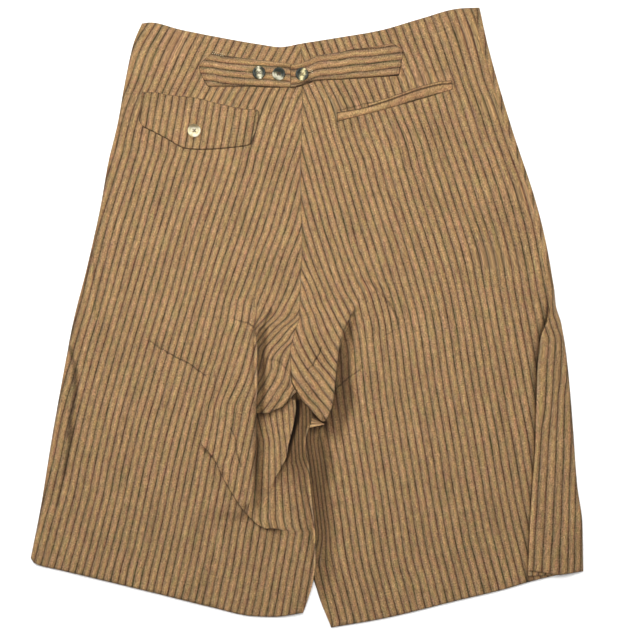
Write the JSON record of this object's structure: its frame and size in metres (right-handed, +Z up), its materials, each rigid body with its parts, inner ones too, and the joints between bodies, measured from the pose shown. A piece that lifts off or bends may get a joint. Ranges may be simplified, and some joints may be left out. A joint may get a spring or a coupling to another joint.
{
  "type": "linen shorts",
  "caption": "Wide-legged striped linen shorts laid flat with the back up, with a back cinch strap, a flap pocket and a welt pocket.",
  "frame": {"origin": "on the surface that the shorts lie on, below the middle of their bounding box", "axes": "+Y towards the waist, along the longest side; +Z up, out of the back of the garment; +X to the right of someone who looks at the back with the waist away from them"},
  "size_m": [0.6291, 0.706, 0.0155],
  "materials": {
    "linen": "plain-woven linen with fine dark stripes, matt and slightly slubbed",
    "dark_horn": "marbled dark and cream horn-look resin, polished",
    "ivory": "ivory resin, polished"
  },
  "bodies": {
    "root": {"back_left": "linen", "back_right": "linen", "front_left": "linen", "front_right": "linen", "strap_left": "linen", "strap_right": "linen", "pocket_flap": "linen", "welt_lower": "linen", "welt_upper": "linen", "strap_button_1": "dark_horn", "strap_button_2": "dark_horn", "strap_button_3": "dark_horn", "flap_button": "ivory"}
  },
  "joints": []
}
